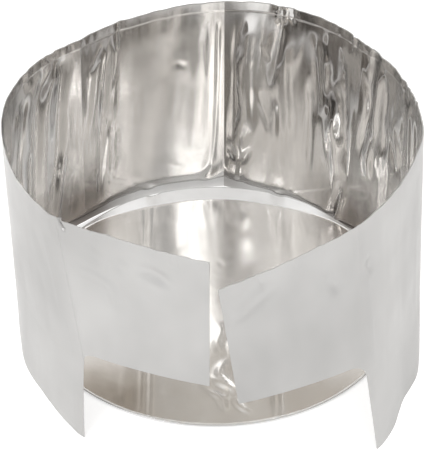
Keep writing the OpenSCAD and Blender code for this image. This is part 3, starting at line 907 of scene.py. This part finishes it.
def wall_paint():
    """Panels by azimuth, and brightness that wanders along the wall."""
    paint, t = new_paint("studio_panels")
    where = t.add("ShaderNodeSeparateXYZ", Vector=t.add("ShaderNodeNewGeometry").outputs["Position"]).outputs
    azimuth = t.math("ARCTAN2", where[0], t.math("MULTIPLY", where[1], -1.0))
    share = t.add("ShaderNodeMapRange", Value=azimuth, From_Min=-math.pi, From_Max=math.pi).outputs[0]
    panels = t.add("ShaderNodeValToRGB", Fac=share)
    stops = panels.color_ramp.elements
    stops.remove(stops[1])
    for k, (turn, level) in enumerate(WALL_PANELS):
        stop = stops[0] if k == 0 else stops.new((turn + 180) / 360)
        warm = 1.0 if abs(turn) > WARM_DEG else WARM_ELSEWHERE
        stop.color = (level / 2, level / 2 * (1 - WARM_GREEN * warm), level / 2 * (1 - WARM_BLUE * warm), 1)
    drapes = t.add("ShaderNodeTexNoise", {"noise_dimensions": "1D"}, Scale=1.0, Detail=1.0,
                   W=t.math("MULTIPLY", azimuth, DRAPE_FINENESS)).outputs[0]
    strength = t.add("ShaderNodeMapRange", Value=drapes, From_Min=0.38, From_Max=0.62, To_Min=DRAPE_LOW,
                     To_Max=DRAPE_HIGH).outputs[0]
    glow = t.add("ShaderNodeEmission", Color=panels.outputs[0], Strength=strength).outputs[0]
    t.add("ShaderNodeOutputMaterial", Surface=glow)
    return paint


def scenery(name, points, faces, *paints):
    """An object of the studio. A face has the first paint."""
    mesh = bpy.data.meshes.new(name)
    mesh.from_pydata(points, [], faces)
    for paint in paints:
        mesh.materials.append(paint)
    thing = bpy.data.objects.new(name, mesh)
    bpy.context.scene.collection.objects.link(thing)
    return thing


def arc(radius, azimuths):
    return [(radius * math.sin(a), -radius * math.cos(a)) for a in np.radians(azimuths)]


def softbox(name, azimuth, elevation, distance, width, height, radiance):
    """A soft lamp at an azimuth from the front (to the right is positive) and an elevation, facing the object."""
    lamp = bpy.data.lights.new(name, "AREA")
    lamp.shape, lamp.size, lamp.size_y = "RECTANGLE", width, height
    lamp.energy = radiance * math.pi * width * height
    holder = bpy.data.objects.new(name, lamp)
    az, el = math.radians(azimuth), math.radians(elevation)
    level = distance * math.cos(el)
    holder.location = (level * math.sin(az), -level * math.cos(az), distance * math.sin(el) + AIM_Z)
    holder.rotation_euler = (math.pi / 2 - el, 0, az)
    holder.visible_camera = False
    bpy.context.scene.collection.objects.link(holder)


corners = [(x * FLOOR_HALF, y * FLOOR_HALF, FLOOR_Z) for x, y in ((-1, -1), (1, -1), (1, 1), (-1, 1))]
floor = scenery("floor", corners, [(0, 1, 2, 3)], floor_paint())

world = bpy.data.worlds.new("studio")
bpy.context.scene.world = world
world.use_nodes = True
world.node_tree.nodes.clear()
t = Tree(world.node_tree)
level = t.add("ShaderNodeMapRange", Value=shows_background(t), To_Min=SKY_LIGHT, To_Max=1.0).outputs[0]
sky = t.add("ShaderNodeBackground", Color=WHITE, Strength=level).outputs[0]
t.add("ShaderNodeOutputWorld", Surface=sky)

# Azimuth, elevation, distance, width, height and radiance of each lamp
softbox("key_softbox", 23, 43, 1.7, 0.20, 0.9, 2.1)
softbox("strip_softbox", -30, 31, 1.7, 0.14, 0.5, 11.0)
softbox("side_softbox", -47, 31, 1.7, 0.12, 0.45, 10.0)
softbox("left_softbox", -136, 24, 1.7, 1.0, 0.75, 3.2)

for name, (first, last, low, high, brightness) in GREY_CARDS.items():
    bends = arc(CARD_R, np.linspace(first, last, CARD_BENDS))
    card = scenery(name, [(x, y, z) for z in (low, high) for x, y in bends],
                   [(k, k + 1, CARD_BENDS + k + 1, CARD_BENDS + k) for k in range(CARD_BENDS - 1)],
                   glowing_paint(name, brightness))
    card.visible_camera = False

ring = arc(WALL_R, np.arange(0, 360, 5))
count = len(ring)
sides = [(k, (k + 1) % count, count + (k + 1) % count, count + k) for k in range(count)]
ceiling = tuple(range(2 * count - 1, count - 1, -1))
walls = scenery("studio_walls", [(x, y, z) for z in (WALL_LOW, CEILING_Z) for x, y in ring], sides + [ceiling],
                wall_paint(), glowing_paint("studio_ceiling", CEILING_LEVEL))
walls.data.polygons[count].material_index = 1
walls.visible_camera = False

camera = bpy.data.objects.new("camera", bpy.data.cameras.new("camera"))
camera.data.sensor_fit, camera.data.sensor_height, camera.data.lens = "VERTICAL", 36.0, CAMERA_LENS
camera.location = CAMERA_PLACE
camera.rotation_euler = (math.radians(90 - CAMERA_DOWN_DEG), 0, 0)
bpy.context.scene.collection.objects.link(camera)
bpy.context.scene.camera = camera
bpy.context.scene.view_settings.view_transform = "Standard"
